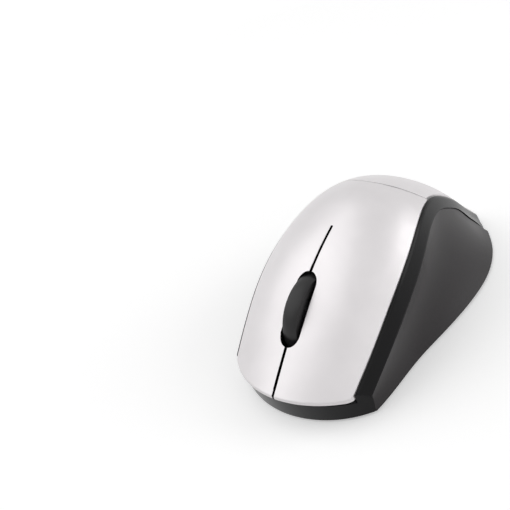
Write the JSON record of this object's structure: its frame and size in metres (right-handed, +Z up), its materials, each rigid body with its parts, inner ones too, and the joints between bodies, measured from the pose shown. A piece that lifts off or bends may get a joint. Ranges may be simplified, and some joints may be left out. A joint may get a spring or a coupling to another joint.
{
  "type": "wireless mouse",
  "caption": "Wireless desk mouse with a domed two-key silver cover, scroll wheel, dark flared sides and a lift-off battery cover.",
  "frame": {"origin": "centre of the footprint, on the plane that the glide feet stand on", "axes": "+Z up, -Y towards the nose and its two keys, +X towards the mouse's own left side"},
  "size_m": [0.0536, 0.102, 0.0395],
  "materials": {
    "pearl_silver": "satin",
    "dark_frame": "satin",
    "soft_grip": "soft touch",
    "black_plastic": "fine texture",
    "glide_pad": "smooth",
    "screw_steel": "plain",
    "circuit_board": "satin",
    "chip_black": "matt",
    "switch_body": "matt",
    "switch_plunger": "smooth",
    "clear_lens": "clear",
    "light_part": "clear",
    "can_metal": "satin",
    "ceramic": "matt",
    "carrier_plastic": "smooth",
    "tyre_rubber": "matt",
    "axle_steel": "polished",
    "spring_steel": "plain",
    "cell_jacket": "gloss",
    "contact_plate": "plated",
    "slider_cap": "smooth"
  },
  "bodies": {
    "case": {"housing": "dark_frame", "left_side_grip": "soft_grip", "right_side_grip": "soft_grip", "top_cover": "pearl_silver", "base_plate": "black_plastic", "glide_feet": "glide_pad", "case_screws": "screw_steel", "main_board": "circuit_board", "board_screws": "screw_steel", "left_switch": "switch_body", "right_switch": "switch_body", "middle_switch": "switch_body", "wheel_light_emitter": "light_part", "wheel_light_detector": "chip_black", "sensor_chip": "chip_black", "sensor_lens": "clear_lens", "sensor_lamp": "light_part", "lamp_clip": "black_plastic", "control_chip": "chip_black", "radio_chip": "chip_black", "crystal_can": "can_metal", "antenna_chip": "ceramic", "capacitors": "can_metal", "power_switch": "switch_body", "battery_tray": "black_plastic", "battery_cells": "cell_jacket", "battery_contacts": "contact_plate"},
    "left_key": {"left_key": "pearl_silver"},
    "right_key": {"right_key": "pearl_silver"},
    "left_plunger": {"left_switch_plunger": "switch_plunger"},
    "right_plunger": {"right_switch_plunger": "switch_plunger"},
    "carrier": {"wheel_carrier": "carrier_plastic", "wheel_axle": "axle_steel", "click_spring": "spring_steel"},
    "wheel": {"wheel_hub": "black_plastic", "wheel_tyre": "tyre_rubber"},
    "middle_button": {"middle_switch_button": "switch_plunger"},
    "battery_door": {"battery_cover": "pearl_silver"},
    "power_slider": {"power_slider": "slider_cap"}
  },
  "joints": [
    {"name": "left_key_press", "type": "hinge", "parent": "case", "child": "left_key", "pos_m": [0, -0.011, 0.0325], "axis": [1, 0, 0], "range_deg": [0, 0.8], "stiffness_Nm_per_rad": 0.9884},
    {"name": "left_switch_travel", "type": "slide", "parent": "case", "child": "left_plunger", "axis": [0, 0, -1], "range_m": [0, 0.000341]},
    {"name": "right_key_press", "type": "hinge", "parent": "case", "child": "right_key", "pos_m": [0, -0.011, 0.0325], "axis": [1, 0, 0], "range_deg": [0, 0.8], "stiffness_Nm_per_rad": 0.9884},
    {"name": "right_switch_travel", "type": "slide", "parent": "case", "child": "right_plunger", "axis": [0, 0, -1], "range_m": [0, 0.000341]},
    {"name": "wheel_click", "type": "hinge", "parent": "case", "child": "carrier", "pos_m": [0, -0.0141, 0.014], "axis": [1, 0, 0], "range_deg": [0, 2.4], "stiffness_Nm_per_rad": 0.2578},
    {"name": "middle_switch_travel", "type": "slide", "parent": "case", "child": "middle_button", "axis": [0, 0, -1], "range_m": [0, 0.00028]},
    {"name": "wheel_spin", "type": "hinge", "parent": "carrier", "child": "wheel", "pos_m": [0, -0.0276, 0.0187], "axis": [1, 0, 0], "continuous": true},
    {"name": "battery_cover_lift", "type": "slide", "parent": "case", "child": "battery_door", "axis": [0, 0.5, 0.866], "range_m": [0, 0.045]},
    {"name": "power_slide", "type": "slide", "parent": "case", "child": "power_slider", "axis": [0, -1, 0], "range_m": [0, 0.002]}
  ],
  "couplings": [
    {"joint": "left_switch_travel", "follows": "left_key_press", "m_per_rad": 0.023},
    {"joint": "right_switch_travel", "follows": "right_key_press", "m_per_rad": 0.023},
    {"joint": "middle_switch_travel", "follows": "wheel_click", "m_per_rad": 0.0062}
  ]
}
